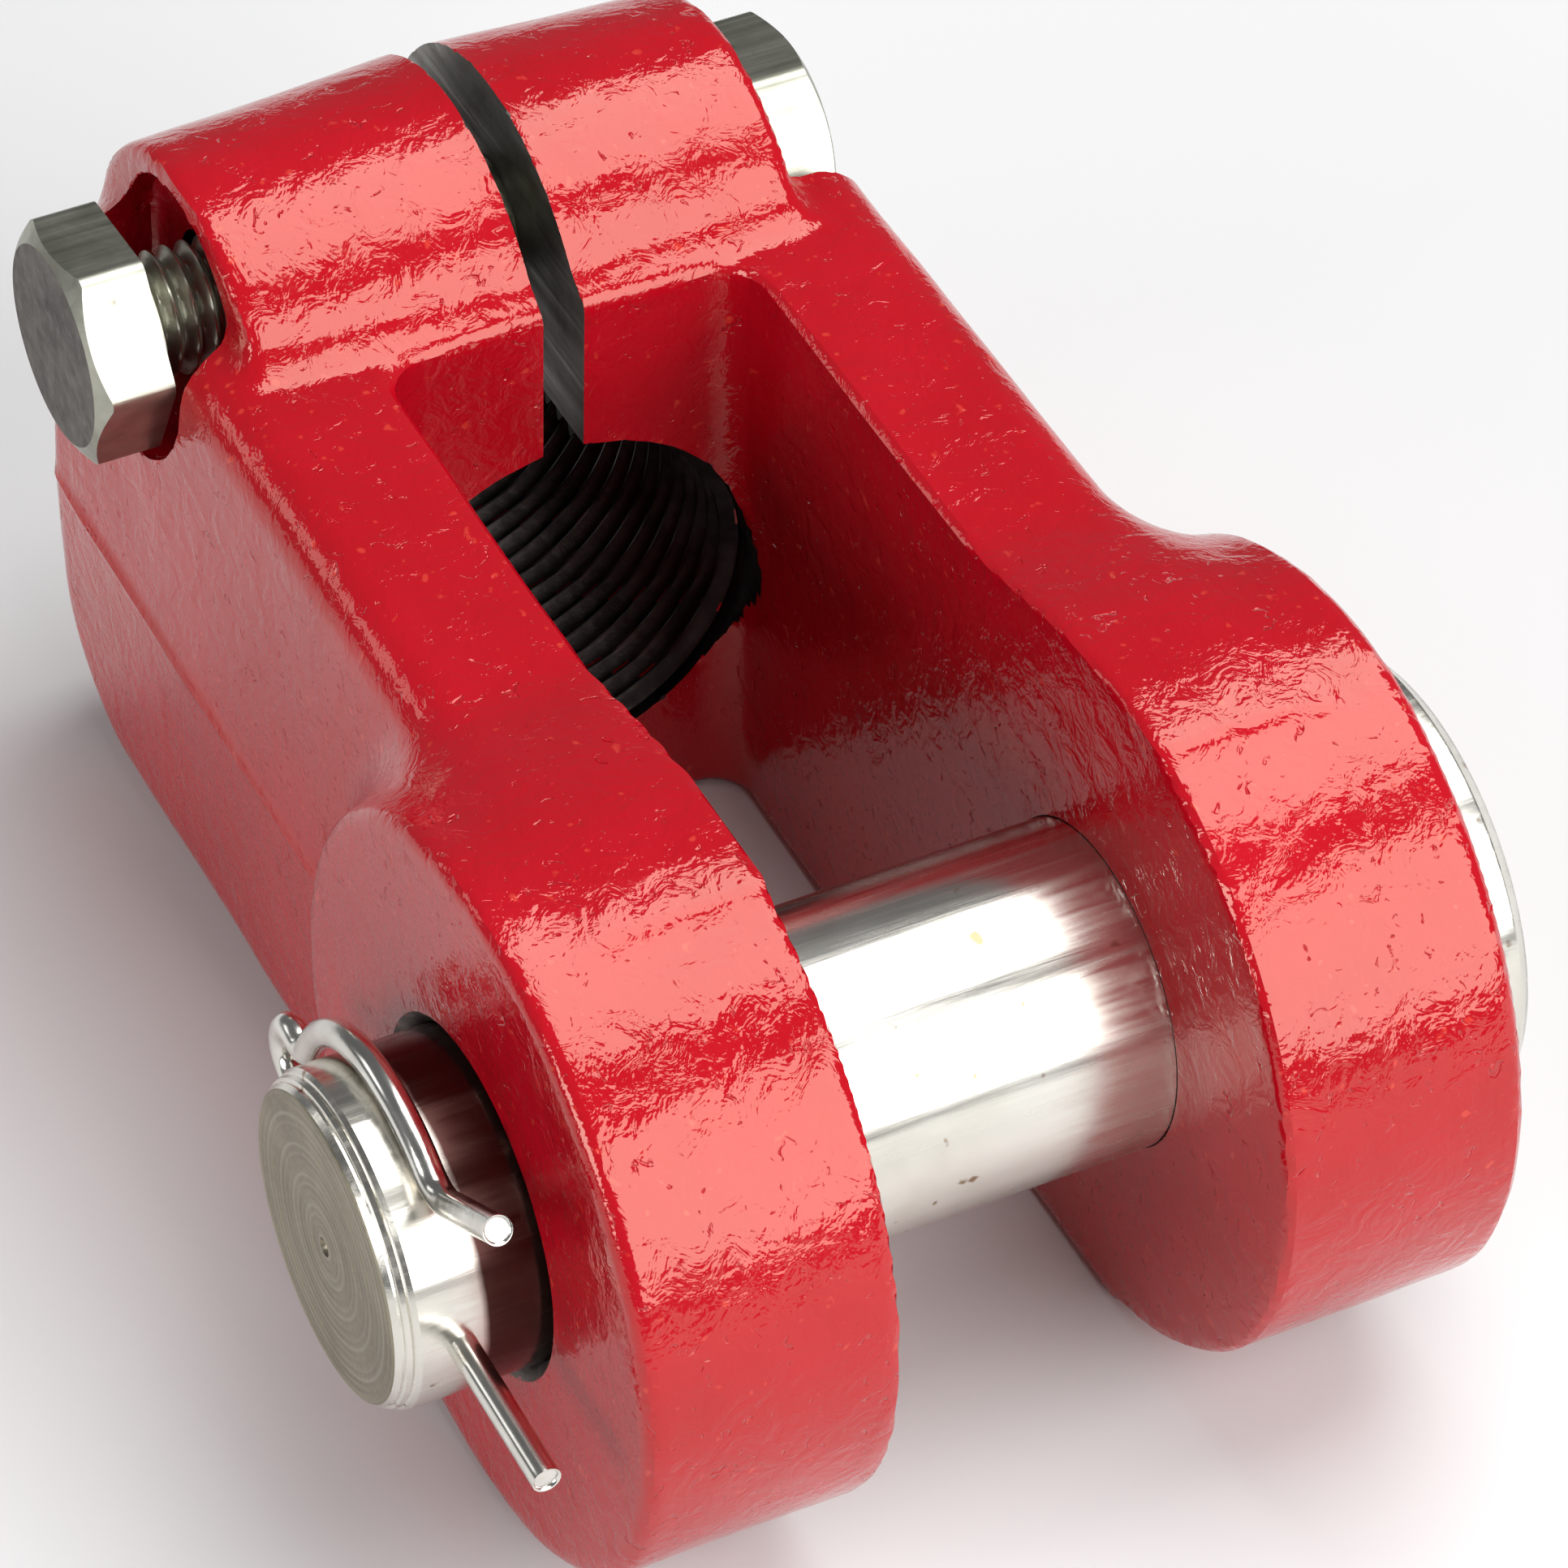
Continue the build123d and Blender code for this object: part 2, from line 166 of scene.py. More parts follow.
def contour(field, low, high, cell):
    """A closed quad mesh of field = 0, with its sharp edges kept. Returns points and quads."""
    count = np.ceil((np.array(high) - low) / cell).astype(int) + 1
    axes = [low[k] + cell * np.arange(count[k]) for k in range(3)]
    value = np.empty(count)
    for i, x in enumerate(axes[0]):
        layer = np.stack(np.meshgrid([x], axes[1], axes[2], indexing="ij"), -1)[0]
        value[i] = field(layer)
    inside = value < 0
    n = count - 1
    total = np.zeros(n, np.int8)
    for c in range(8):
        i, j, k = c & 1, c >> 1 & 1, c >> 2 & 1
        total += inside[i:n[0] + i, j:n[1] + j, k:n[2] + k]
    active = np.argwhere((total > 0) & (total < 8))
    number = np.full(n, -1)
    number[tuple(active.T)] = np.arange(len(active))
    origin = np.array([a[0] for a in axes])
    matrix = np.zeros((len(active), 3, 3))
    right = np.zeros((len(active), 3))
    mass = np.zeros((len(active), 3))
    hits = np.zeros(len(active))
    planes = []
    for axis in range(3):
        others = [k for k in range(3) if k != axis]
        for c in range(4):
            a = np.zeros(3, int)
            a[others[0]], a[others[1]] = c & 1, c >> 1
            b = a.copy()
            b[axis] = 1
            va = value[tuple((active + a).T)]
            vb = value[tuple((active + b).T)]
            crossed = np.flatnonzero((va < 0) != (vb < 0))
            lo = origin + cell * (active[crossed] + a)
            hi = origin + cell * (active[crossed] + b)
            fa = va[crossed]
            fb = vb[crossed]
            for _ in range(6):
                t = np.clip(fa / (fa - fb), 0.02, 0.98)[:, None]
                mid = lo + t * (hi - lo)
                fm = field(mid)
                low_side = (fm < 0) == (fa < 0)
                lo = np.where(low_side[:, None], mid, lo)
                fa = np.where(low_side, fm, fa)
                hi = np.where(low_side[:, None], hi, mid)
                fb = np.where(low_side, fb, fm)
            mid = lo + np.clip(fa / (fa - fb), 0, 1)[:, None] * (hi - lo)
            normal = gradient(field, mid, 0.01)
            normal /= np.linalg.norm(normal, axis=1, keepdims=True) + 1e-12
            np.add.at(mass, crossed, mid)
            np.add.at(hits, crossed, 1)
            planes.append((crossed, mid, normal))
    mass /= hits[:, None]
    for crossed, mid, normal in planes:
        np.add.at(matrix, crossed, normal[:, :, None] * normal[:, None, :])
        reach = ((mid - mass[crossed]) * normal).sum(1)
        np.add.at(right, crossed, normal * reach[:, None])
    matrix += 0.06 * np.eye(3)
    shift = np.linalg.solve(matrix, right[..., None])[..., 0]
    limit = 0.75 * cell
    size = np.linalg.norm(shift, axis=1, keepdims=True)
    points = mass + shift * np.minimum(1, limit / (size + 1e-12))
    quads = []
    for axis in range(3):
        u, v = (axis + 1) % 3, (axis + 2) % 3
        low_cut = [slice(1, n[k]) for k in range(3)]
        low_cut[axis] = slice(0, n[axis])
        high_cut = list(low_cut)
        high_cut[axis] = slice(1, n[axis] + 1)
        first = inside[tuple(low_cut)]
        second = inside[tuple(high_cut)]
        where = np.argwhere(first != second)
        outward = first[tuple(where.T)]
        where = where.copy()
        where[:, u] += 1
        where[:, v] += 1
        ring = []
        for du, dv in ((1, 1), (0, 1), (0, 0), (1, 0)):
            q = where.copy()
            q[:, u] -= du
            q[:, v] -= dv
            ring.append(number[tuple(q.T)])
        ring = np.stack(ring, 1)
        ring[~outward] = ring[~outward][:, ::-1]
        quads.append(ring)
    return points, np.concatenate(quads)


# ---------------------------------------------------------------- meshes
def mesh_object(name, points, faces, sharp_deg=32.0):
    mesh = bpy.data.meshes.new(name)
    mesh.from_pydata((np.asarray(points) * MM).tolist(), [], [list(f) for f in faces])
    mesh.validate()
    mesh.update()
    obj = bpy.data.objects.new(name, mesh)
    bpy.context.scene.collection.objects.link(obj)
    mesh.shade_smooth()
    mesh.set_sharp_from_angle(angle=math.radians(sharp_deg))
    return obj


def of_faces(mesh, what):
    """The centre, in millimetres, or the normal of every face."""
    values = np.empty(len(mesh.polygons) * 3)
    mesh.polygons.foreach_get(what, values)
    return values.reshape(-1, 3) / (MM if what == "center" else 1.0)


def joined(parts):
    """Several (points, faces) as one."""
    points = []
    faces = []
    start = 0
    for p, f in parts:
        points.append(np.asarray(p, float))
        faces += [[i + start for i in face] for face in f]
        start += len(p)
    return np.concatenate(points), faces


def strip(rows, closed_rows=True, flip=False):
    """Faces over a grid of points, rows by columns, as points and quads."""
    rows = np.asarray(rows)
    a, b = rows.shape[:2]
    faces = []
    for i in range(a - 1):
        for j in range(b if closed_rows else b - 1):
            k = (j + 1) % b
            face = [i * b + j, i * b + k, (i + 1) * b + k, (i + 1) * b + j]
            faces.append(face[::-1] if flip else face)
    return rows.reshape(-1, 3), faces


def capped(rows, flip=False):
    """A closed tube over rows of points, its first and last rows filled with a fan."""
    points, faces = strip(rows, True, flip)
    b = len(rows[0])
    n = len(points)
    points = np.vstack([points, np.mean(rows[0], 0), np.mean(rows[-1], 0)])
    for j in range(b):
        k = (j + 1) % b
        first = [n, k, j]
        last = [n + 1, n - b + j, n - b + k]
        faces.append(first[::-1] if flip else first)
        faces.append(last[::-1] if flip else last)
    return points, faces


def ring_about(centre, y, r, angle):
    """Points at radius r round the line along Y through centre."""
    r = r + 0 * angle
    return np.stack([centre[0] + r * np.cos(angle), y + 0 * angle, centre[1] + r * np.sin(angle)], 1)


def turned(profile, centre, steps=128):
    """A solid turned about the line along Y through centre, from (y, radius) pairs in order of y."""
    angle = np.linspace(0, 2 * math.pi, steps, endpoint=False)
    rows = [ring_about(centre, y, r, angle) for y, r in profile]
    return capped(np.array(rows), flip=True)


def threaded(y0, y1, major, minor, pitch, centre, taper0=0.0, taper1=0.0, steps=60, per_pitch=10):
    """A threaded rod along Y, as rows of points. The thread runs out at either end over its taper."""
    count = int((y1 - y0) / pitch * per_pitch) + 1
    angle = np.linspace(0, 2 * math.pi, steps, endpoint=False)
    rows = []
    for y in np.linspace(y0, y1, count):
        phase = (y / pitch - angle / (2 * math.pi)) % 1
        crest = np.clip(1.25 * (1 - np.abs(2 * phase - 1)) - 0.1, 0, 1)
        r = minor + (major - minor) * crest
        if taper0:
            r = np.minimum(r, minor + (major - minor) * (y - y0) / taper0)
        if taper1:
            r = np.minimum(r, minor + (major - minor) * (y1 - y) / taper1)
        rows.append(ring_about(centre, y, r, angle))
    return np.array(rows)


def hexagon(y0, y1, across, face_r, turn_deg, centre, chamfers, hole=None, washer=None):
    """A hexagon along Y with its corners turned off, as points and faces.

    chamfers says which end, low and high, is turned off at 30 degrees outside face_r.
    hole is (radius, mouth chamfer) for a nut. washer is (radius, height) of a face under a head.
    """
    steps = 144
    angle = np.linspace(0, 2 * math.pi, steps, endpoint=False)
    local = (angle + math.radians(turn_deg)) % (math.pi / 3) - math.pi / 6
    outline = across / 2 / np.cos(local)
    # A hair of rounding at the six corners.
    outline = np.minimum(outline, across / math.sqrt(3) - 0.18)
    slope = math.tan(math.radians(30))
    drop = np.maximum(outline - face_r, 0) * slope

    def row(r, y):
        return ring_about(centre, y, r, angle)

    inner = hole[0] if hole else 0.0
    rows = []
    if hole:
        rows.append(row(inner, y0 + hole[1]))
        rows.append(row(inner + hole[1], y0))
    else:
        rows.append(row(0.05, y0))
    for r in ((0.85 if hole else 0.5) * face_r, inner + 0.97 * (face_r - inner), face_r):
        rows.append(row(r, y0))
    if chamfers[0]:
        for share in (0.33, 0.66, 1.0):
            rows.append(row(face_r + (outline - face_r) * share, y0 + drop * share))
        rows.append(row(outline, y0 + drop + 0.15))
    else:
        rows.append(row(outline, y0))
    high = drop if chamfers[1] else 0 * drop
    rows.append(row(outline, y0 + drop * chamfers[0] + 0.5 * (y1 - y0 - drop * chamfers[0] - high)))
    rows.append(row(outline, y1 - high - 0.15 * chamfers[1]))
    if chamfers[1]:
        for share in (1.0, 0.66, 0.33):
            rows.append(row(face_r + (outline - face_r) * share, y1 - high * share))
    rows.append(row(face_r, y1))
    if hole:
        rows.append(row(inner + hole[1], y1))
        rows.append(row(inner, y1 - hole[1]))
        rows.append(rows[0])
        return strip(np.array(rows), True, True)
    if washer:
        rows.append(row(washer[0], y1))
        rows.append(row(washer[0] - 0.05, y1 + washer[1]))
        rows.append(row(0.05, y1 + washer[1]))
    else:
        rows.append(row(0.05, y1))
    return capped(np.array(rows), True)


def swept(path, radius, steps=20):
    """A round wire along a path of points, its ends slightly rounded."""
    path = np.asarray(path, float)
    tangent = np.gradient(path, axis=0)
    tangent /= np.linalg.norm(tangent, axis=1, keepdims=True)
    across = np.array([0.0, 1.0, 0.0])
    angle = np.linspace(0, 2 * math.pi, steps, endpoint=False)
    rows = []

    def ring(at, along, r):
        side = np.cross(across, along)
        return at + r * (np.cos(angle)[:, None] * across + np.sin(angle)[:, None] * side)

    edge = 0.25
    for share in (0.0, 0.35, 0.7, 0.93):
        rows.append(ring(path[0] + tangent[0] * edge * (1 - math.sqrt(1 - (1 - share) ** 2)),
                         tangent[0], radius - edge * (1 - share)))
    rows.append(ring(path[0] + tangent[0] * edge, tangent[0], radius))
    for at, along in zip(path[1:-1], tangent[1:-1]):
        if np.dot(at - path[0], tangent[0]) > edge * 1.5 or np.linalg.norm(at - path[0]) > 2:
            rows.append(ring(at, along, radius))
    rows.append(ring(path[-1] - tangent[-1] * edge, tangent[-1], radius))
    for share in (0.93, 0.7, 0.35, 0.0):
        rows.append(ring(path[-1] - tangent[-1] * edge * 0.9 * (1 - math.sqrt(1 - (1 - share) ** 2)),
                         tangent[-1], radius - edge * (1 - share)))
    return capped(np.array(rows), flip=False)


# ---------------------------------------------------------------- materials
class Nodes:
    """A material's node tree, with short ways to add nodes to it."""

    def __init__(self, name):
        self.material = bpy.data.materials.new(name)
        self.material.use_nodes = True
        self.tree = self.material.node_tree
        self.shader = self.tree.nodes["Principled BSDF"]
        self.place = self.add("ShaderNodeTexCoord").outputs["Object"]

    def add(self, kind, **settings):
        node = self.tree.nodes.new(kind)
        for key, value in settings.items():
            setattr(node, key, value)
        return node

    def put(self, socket, value):
        if isinstance(value, bpy.types.NodeSocket):
            self.tree.links.new(value, socket)
        else:
            socket.default_value = value

    def noise(self, scale, detail=3.0, rough=0.5, distort=0.0, at=None):
        node = self.add("ShaderNodeTexNoise")
        self.put(node.inputs["Vector"], at or self.place)
        node.inputs["Scale"].default_value = scale
        node.inputs["Detail"].default_value = detail
        node.inputs["Roughness"].default_value = rough
        node.inputs["Distortion"].default_value = distort
        return node.outputs["Fac"]

    def math(self, operation, a, b=0.0):
        node = self.add("ShaderNodeMath", operation=operation)
        self.put(node.inputs[0], a)
        self.put(node.inputs[1], b)
        return node.outputs[0]

    def ramp(self, value, low, high, out_low=0.0, out_high=1.0):
        node = self.add("ShaderNodeMapRange", clamp=True)
        self.put(node.inputs["Value"], value)
        node.inputs["From Min"].default_value = low
        node.inputs["From Max"].default_value = high
        node.inputs["To Min"].default_value = out_low
        node.inputs["To Max"].default_value = out_high
        return node.outputs[0]

    def mix(self, share, a, b):
        node = self.add("ShaderNodeMix", data_type="RGBA")
        self.put(node.inputs[0], share)
        self.put(node.inputs[6], a)
        self.put(node.inputs[7], b)
        return node.outputs[2]

    def mapped(self, scale):
        node = self.add("ShaderNodeMapping")
        self.put(node.inputs["Vector"], self.place)
        node.inputs["Scale"].default_value = scale
        return node.outputs[0]

    def bump(self, height, strength, distance, after=None):
        node = self.add("ShaderNodeBump")
        self.put(node.inputs["Height"], height)
        node.inputs["Strength"].default_value = strength
        node.inputs["Distance"].default_value = distance
        if after is not None:
            self.put(node.inputs["Normal"], after)
        return node.outputs[0]

    def finish(self, **sockets):
        for key, value in sockets.items():
            self.put(self.shader.inputs[key.replace("_", " ")], value)
        return self.material


def red_paint():
    n = Nodes("red_paint")
    broad = n.noise(60, 3, 0.55)
    lumps = n.noise(380, 3.5, 0.62, 0.7)
    fine = n.noise(1500, 2, 0.5)
    specks = n.noise(900, 1, 0.5)
    base = n.mix(n.ramp(broad, 0.3, 0.7), (0.355, 0.002, 0.008, 1), (0.42, 0.003, 0.012, 1))
    base = n.mix(n.ramp(specks, 0.70, 0.78), base, (0.50, 0.030, 0.022, 1))
    rough = n.ramp(n.noise(220, 2, 0.5), 0.35, 0.65, 0.06, 0.11)
    pits = n.ramp(n.noise(650, 2, 0.6, 1.2), 0.24, 0.34, -0.8, 0.0)
    height = n.math("ADD", n.math("MULTIPLY", lumps, 0.55), n.math("MULTIPLY", fine, 0.08))
    height = n.math("ADD", height, n.math("MULTIPLY", pits, 0.5))
    normal = n.bump(height, 0.60, 0.0006)
    return n.finish(Base_Color=base, Roughness=rough, Normal=normal,
                    Specular_IOR_Level=0.8, Specular_Tint=(1.0, 0.74, 0.62, 1))


def bare_steel(name, light, dark, rough, scale, along, grain=(900, 0.25),
               stain=None, painted_shade_band=None, rings=False):
    """Bare steel, with a grain that runs along one axis and some tarnish.

    The band, (low y, high y), is a length darkened as painted shade: the shadow and dark reflection on the pin
    between the hairpin and the ear.
    """
    n = Nodes(name)
    stretch = [1.0, 1.0, 1.0]
    stretch[along] = 0.04
    lines = n.noise(grain[0], 3, 0.6, at=n.mapped(stretch))
    tarnish = n.noise(scale, 4, 0.6, 0.5)
    colour = n.mix(n.ramp(tarnish, 0.35, 0.7), light, dark)
    if stain is not None:
        spots = n.ramp(n.noise(520, 2, 0.5), 0.70, 0.76)
        colour = n.mix(spots, colour, stain)
    if painted_shade_band is not None:
        # Painted shade: the band's length of pin is darkened to a near-black brown for its shadow and dark
        # reflection.
        y = n.add("ShaderNodeSeparateXYZ")
        n.put(y.inputs[0], n.place)
        y = n.math("ADD", y.outputs[1], n.math("MULTIPLY", n.noise(260, 2, 0.6), 0.5 * MM))
        share = n.math("MULTIPLY", n.ramp(y, painted_shade_band[0] * MM, (painted_shade_band[0] + 0.6) * MM),
                       n.ramp(y, (painted_shade_band[1] - 0.6) * MM, painted_shade_band[1] * MM, 1.0, 0.0))
        colour = n.mix(share, colour, (0.075, 0.035, 0.03, 1))
    roughness = n.ramp(lines, 0.3, 0.7, rough[0], rough[1])
    normal = n.bump(lines, grain[1], 0.0002)
    if rings:
        # Turning marks, round about the pin's axis.
        flat = n.add("ShaderNodeVectorMath", operation="LENGTH")
        n.put(flat.inputs[0], n.mapped((1.0, 0.0, 1.0)))
        wave = n.math("SINE", n.math("MULTIPLY", flat.outputs["Value"], 2 * math.pi / (0.75 * MM)))
        broad = n.math("SINE", n.math("MULTIPLY", flat.outputs["Value"], 2 * math.pi / (2.3 * MM)))
        normal = n.bump(n.math("ADD", wave, broad), 0.35, 0.00012, normal)
        colour = n.mix(n.ramp(n.math("ADD", wave, broad), 0.4, 1.8, 0.0, 0.45), colour, (0.42, 0.40, 0.33, 1))
    return n.finish(Base_Color=colour, Roughness=roughness, Normal=normal, Metallic=1.0)


paint = red_paint()
sawn = bare_steel("sawn_iron", (0.30, 0.29, 0.27, 1), (0.16, 0.14, 0.12, 1), (0.35, 0.6), 160, 0, (700, 0.5))
# Dark oiled iron for the thread and the screw hole, made near black as painted shade of the deep bore.
bore_iron_and_shade = bare_steel("bore_iron_painted_shade", (0.045, 0.04, 0.038, 1), (0.015, 0.012, 0.012, 1), (0.35, 0.55), 120, 0,
                    (900, 0.3))
# The pin's band from -39.6 to -33.0 mm is painted shade, the shadow and dark reflection between the hairpin and
# the ear.
pin_steel = bare_steel("turned_steel", (0.80, 0.78, 0.72, 1), (0.66, 0.63, 0.56, 1), (0.16, 0.30), 70, 1,
                       (1200, 0.10), stain=(0.30, 0.20, 0.12, 1), painted_shade_band=(-39.6, -33.0))
end_steel = bare_steel("faced_steel", (0.32, 0.285, 0.21, 1), (0.21, 0.185, 0.135, 1), (0.32, 0.45), 90, 1,
                       (1500, 0.2), rings=True)
wire_steel = bare_steel("spring_wire", (0.80, 0.78, 0.73, 1), (0.62, 0.60, 0.55, 1), (0.14, 0.25), 200, 0,
                        (1500, 0.1))
bolt_steel = bare_steel("zinc_steel", (0.46, 0.46, 0.39, 1), (0.26, 0.26, 0.21, 1), (0.30, 0.44), 150, 1,
                        (900, 0.2), stain=(0.25, 0.24, 0.20, 1))
forged = bare_steel("forged_end", (0.13, 0.115, 0.10, 1), (0.06, 0.05, 0.045, 1), (0.38, 0.55), 260, 1, (700, 0.4))

# ---------------------------------------------------------------- the casting
CELL = 0.75
points, quads = contour(casting, (-94.0, -36.9, -30.6), (31.1, 37.0, 36.9), CELL)
# Gentle unevenness of the sand-cast faces, none on the machined ones.
machined = (np.hypot(points[:, 1], points[:, 2] - ROD_Z) < ROD_MAJOR_R + 0.3) & (points[:, 0] < THROAT_X + 4.2)
machined |= (np.abs(points[:, 1]) < SLOT_HALF + 0.3) & (points[:, 2] > 0) & (points[:, 0] < THROAT_X + 1)
machined |= np.hypot(points[:, 0], points[:, 2]) < PIN_HOLE_R + 1.3
lump = np.zeros(len(points))
for _ in range(14):
    wave = rng.normal(size=3)
    wave *= rng.uniform(0.25, 0.9) / np.linalg.norm(wave)
    lump += np.sin(points @ wave + rng.uniform(0, 2 * math.pi)) / np.linalg.norm(wave)
lump *= 0.035 / lump.std()
normal = gradient(casting, points, 0.05)
normal /= np.linalg.norm(normal, axis=1, keepdims=True) + 1e-9
points = points + normal * np.where(machined, 0, np.minimum(lump, 0.09) - 0.09)[:, None]

# The rod's thread: a helical sleeve inside the bore, open at the saw cut.
gap_angle = math.asin(SLOT_HALF / ROD_MINOR_R) + 0.012
turn = np.linspace(math.pi / 2 + gap_angle, math.pi / 2 + 2 * math.pi - gap_angle, 121)
sleeve = []
front = THROAT_X - 0.35
back = REAR_X + 0.35
for x in np.linspace(back, front, 193):
    phase = (x / ROD_PITCH + turn / (2 * math.pi)) % 1
    crest = np.clip(1.22 * (1 - np.abs(2 * phase - 1)) - 0.11, 0, 1)
    fade = min(1.0, (front - x) / 1.3, (x - back) / 1.3)
    r = ROD_MAJOR_R + 0.1 - (ROD_MAJOR_R + 0.1 - ROD_MINOR_R) * crest * fade
    inner = np.stack([x + 0 * turn, r * np.cos(turn), ROD_Z + r * np.sin(turn)], 1)
    r = ROD_MAJOR_R + 0.5 + 0 * turn
    outer = np.stack([x + 0 * turn, r * np.cos(turn), ROD_Z + r * np.sin(turn)], 1)
    sleeve.append(np.vstack([inner, outer[::-1]]))
sleeve = capped(np.array(sleeve), flip=True)
# The end fans of a C-shaped ring would cross it, so the ring's own ends are filled by quads instead.
ring = len(turn)
sleeve_points = sleeve[0][:-2]
sleeve_faces = [f for f in sleeve[1] if len(f) == 4]
last = len(sleeve_points) - 2 * ring
for j in range(ring - 1):
    sleeve_faces.append([2 * ring - 2 - j, 2 * ring - 1 - j, j, j + 1])
    sleeve_faces.append([last + j + 1, last + j, last + 2 * ring - 1 - j, last + 2 * ring - 2 - j])

body_points, body_faces = joined([(points, quads.tolist()), (sleeve_points, sleeve_faces)])
clevis = mesh_object("clevis_casting", body_points, body_faces)
for m in (paint, sawn, bore_iron_and_shade):
    clevis.data.materials.append(m)
centre = of_faces(clevis.data, "center")
facing = np.abs(of_faces(clevis.data, "normal"))
ay = np.abs(centre[:, 1])
index = np.zeros(len(centre), int)
rod = np.hypot(centre[:, 1], centre[:, 2] - ROD_Z)
# Index 2 gives the bore and screw hole walls the near-black iron that carries painted shade.
bore_wall = (rod < ROD_MAJOR_R + 0.55) & (centre[:, 0] < THROAT_X) & (facing[:, 0] < 0.75)
bore_wall |= (rod < ROD_MAJOR_R - 0.03) & (centre[:, 0] < THROAT_X)
run_out = (np.abs(rod - ROD_MAJOR_R + RUN_OUT * (centre[:, 0] - THROAT_X)) < 0.12) & (centre[:, 0] >= THROAT_X)
index[bore_wall | (run_out & (centre[:, 0] < THROAT_X + 4.5))] = 2
index[(ay < SLOT_HALF + 0.12) & (centre[:, 2] > ROD_Z + 12) & (centre[:, 0] < THROAT_X + 0.2)
      & (facing[:, 1] > 0.6)] = 1
pin_wall = np.hypot(centre[:, 0], centre[:, 2]) < PIN_HOLE_R + 0.95
index[pin_wall & (ay > GAP_HALF + 0.2) & (facing[:, 1] < 0.85)] = 1
screw_wall = np.hypot(centre[:, 0] - SCREW_X, centre[:, 2] - SCREW_Z) < SCREW_HOLE_R + 0.15
index[screw_wall & (facing[:, 1] < 0.6)] = 2
clevis.data.polygons.foreach_set("material_index", index)
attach(clevis, "clevis")
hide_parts("clevis")

# ---------------------------------------------------------------- the clevis pin
PIN_END = -46.2
HEAD_Y = 35.1
HEAD_T = 6.6
HEAD_R = 18.5
profile = [(PIN_END + 0.45, 0.02), (PIN_END + 0.45, 0.45), (PIN_END, 0.75), (PIN_END, 1.0)]
for k, r in enumerate(np.arange(1.3, 11.3, 0.3)):
    profile.append((PIN_END + (0.045 if k % 2 else 0.0), float(r)))
profile += [(PIN_END, 11.45), (PIN_END + 0.12, 11.7), (PIN_END + 0.55, 12.0), (PIN_END + 0.75, 12.0),
            (PIN_END + 0.85, 12.25), (PIN_END + 1.2, 12.35), (PIN_END + 1.3, 12.25), (PIN_END + 1.45, 12.5),
            (PIN_END + 1.8, PIN_R)]
for y in np.linspace(PIN_END + 3.5, HEAD_Y - 0.3, 40):
    profile.append((float(y), PIN_R))
profile += [(HEAD_Y - 0.02, PIN_R), (HEAD_Y, PIN_R + 0.3), (HEAD_Y, HEAD_R - 0.7), (HEAD_Y + 0.35, HEAD_R - 0.12),
            (HEAD_Y + 0.7, HEAD_R), (HEAD_Y + HEAD_T - 1.3, HEAD_R), (HEAD_Y + HEAD_T - 1.1, HEAD_R - 0.06),
            (HEAD_Y + HEAD_T - 0.12, HEAD_R - 0.95), (HEAD_Y + HEAD_T, HEAD_R - 1.2)]
for k, r in enumerate(np.arange(16.8, 0.9, -0.4)):
    profile.append((HEAD_Y + HEAD_T - (0.03 if k % 2 else 0.0), float(r)))
profile.append((HEAD_Y + HEAD_T, 0.02))
pin = mesh_object("turned_pin", *turned(profile, (0.0, 0.0), 160), sharp_deg=25)
pin.data.materials.append(pin_steel)
pin.data.materials.append(end_steel)
middle = of_faces(pin.data, "center")
end_face = (middle[:, 1] < PIN_END + 0.3) | (middle[:, 1] > HEAD_Y + HEAD_T - 0.1)
pin.data.polygons.foreach_set("material_index", end_face.astype(int))
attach(pin, "clevis_pin")
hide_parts("clevis_pin")

# ---------------------------------------------------------------- the hairpin
WIRE_R = 1.1
HAIRPIN_Y = -41.3
LOOP_X = -15.6
LOOP_R = 2.4
NECK_R = 1.6
HUG_R = PIN_R + WIRE_R + 0.5
FLARE_R = 3.5
loop_far = math.hypot(LOOP_X, LOOP_R)
neck_far = HUG_R + NECK_R
neck_near = LOOP_R + NECK_R
neck_along = (neck_far ** 2 - neck_near ** 2 + loop_far ** 2) / (2 * loop_far)
neck_bearing = math.atan2(LOOP_R, LOOP_X) - math.acos(neck_along / neck_far)
neck = (neck_far * math.cos(neck_bearing), neck_far * math.sin(neck_bearing))
loop_end = math.atan2(neck[1] - LOOP_R, neck[0] - LOOP_X)
hug_end = math.radians(60)
flare = ((HUG_R + FLARE_R) * math.cos(hug_end), (HUG_R + FLARE_R) * math.sin(hug_end))


def arc(centre, r, start, turn_by, step=0.35):
    count = max(4, int(abs(turn_by) * r / step))
    a = start + turn_by * np.linspace(0, 1, count + 1)[1:]
    return [(centre[0] + r * math.cos(t), centre[1] + r * math.sin(t)) for t in a]


line = [(float(x), 0.0) for x in np.linspace(26.2, LOOP_X, 60)]
line += arc((LOOP_X, LOOP_R), LOOP_R, -math.pi / 2, loop_end - 1.5 * math.pi)
neck_start = loop_end + math.pi
line += arc(neck, NECK_R, neck_start, neck_bearing + math.pi - neck_start)
line += arc((0.0, 0.0), HUG_R, neck_bearing, hug_end - neck_bearing)
line += arc(flare, FLARE_R, hug_end + math.pi, math.radians(66))
end = np.array(line[-1])
heading = end - np.array(line[-2])
heading /= np.linalg.norm(heading)
line += [tuple(end + heading * s) for s in np.linspace(0.5, 9.0, 18)]
path = [(x, HAIRPIN_Y, z) for x, z in line]
hairpin = mesh_object("hairpin_wire", *swept(path, WIRE_R, 24), sharp_deg=40)
hairpin.data.materials.append(wire_steel)
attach(hairpin, "hairpin")
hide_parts("hairpin")

